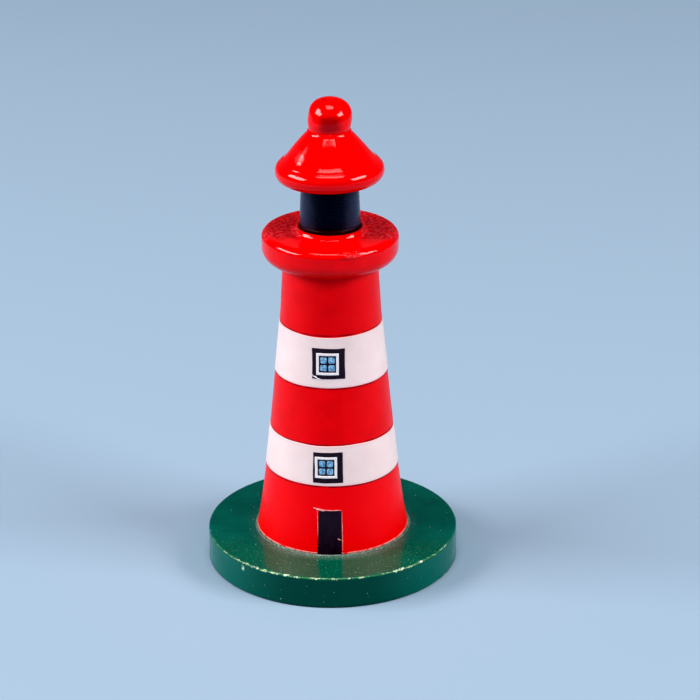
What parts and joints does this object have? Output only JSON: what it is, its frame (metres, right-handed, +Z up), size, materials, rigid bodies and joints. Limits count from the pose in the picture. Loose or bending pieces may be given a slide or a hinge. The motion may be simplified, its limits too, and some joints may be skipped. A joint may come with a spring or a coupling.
{
  "type": "painted wooden lighthouse figure",
  "caption": "Small free-standing turned wooden lighthouse with painted bands, windows and door, a gallery, a lantern drum and a knobbed roof on a round base.",
  "frame": {"origin": "centre of the underside of the base disc", "axes": "+Z up along the turning axis, door and windows face -Y"},
  "size_m": [0.058, 0.058, 0.1102],
  "materials": {
    "green_enamel": "semi-gloss green enamel on turned wood",
    "red_gloss_enamel": "thick high-gloss red enamel on turned wood",
    "red_satin_enamel": "satin red enamel on turned wood",
    "black_satin_paint": "satin black paint on turned wood",
    "white_paint": "satin white enamel coat",
    "black_mark_paint": "satin black enamel coat",
    "blue_mark_paint": "blotchy blue enamel coat",
    "dried_glue": "dried wood glue with dust in it",
    "bare_beech": "bare beech dowel",
    "zinc_steel": "zinc plated"
  },
  "bodies": {
    "root": {"base_disc": "green_enamel", "base_screw": "zinc_steel", "tower_body": "red_satin_enamel", "glue_bead": "dried_glue", "door_panel": "black_mark_paint", "gallery_disc": "red_gloss_enamel", "lantern_drum": "black_satin_paint", "roof_cone": "red_gloss_enamel", "roof_knob": "red_gloss_enamel", "spine_dowel": "bare_beech", "white_band_lower": "white_paint", "white_band_upper": "white_paint", "window_surround_lower": "black_mark_paint", "window_surround_upper": "black_mark_paint", "window_frame_lower": "white_paint", "window_frame_upper": "white_paint", "window_panes_lower": "blue_mark_paint", "window_panes_upper": "blue_mark_paint"}
  },
  "joints": []
}
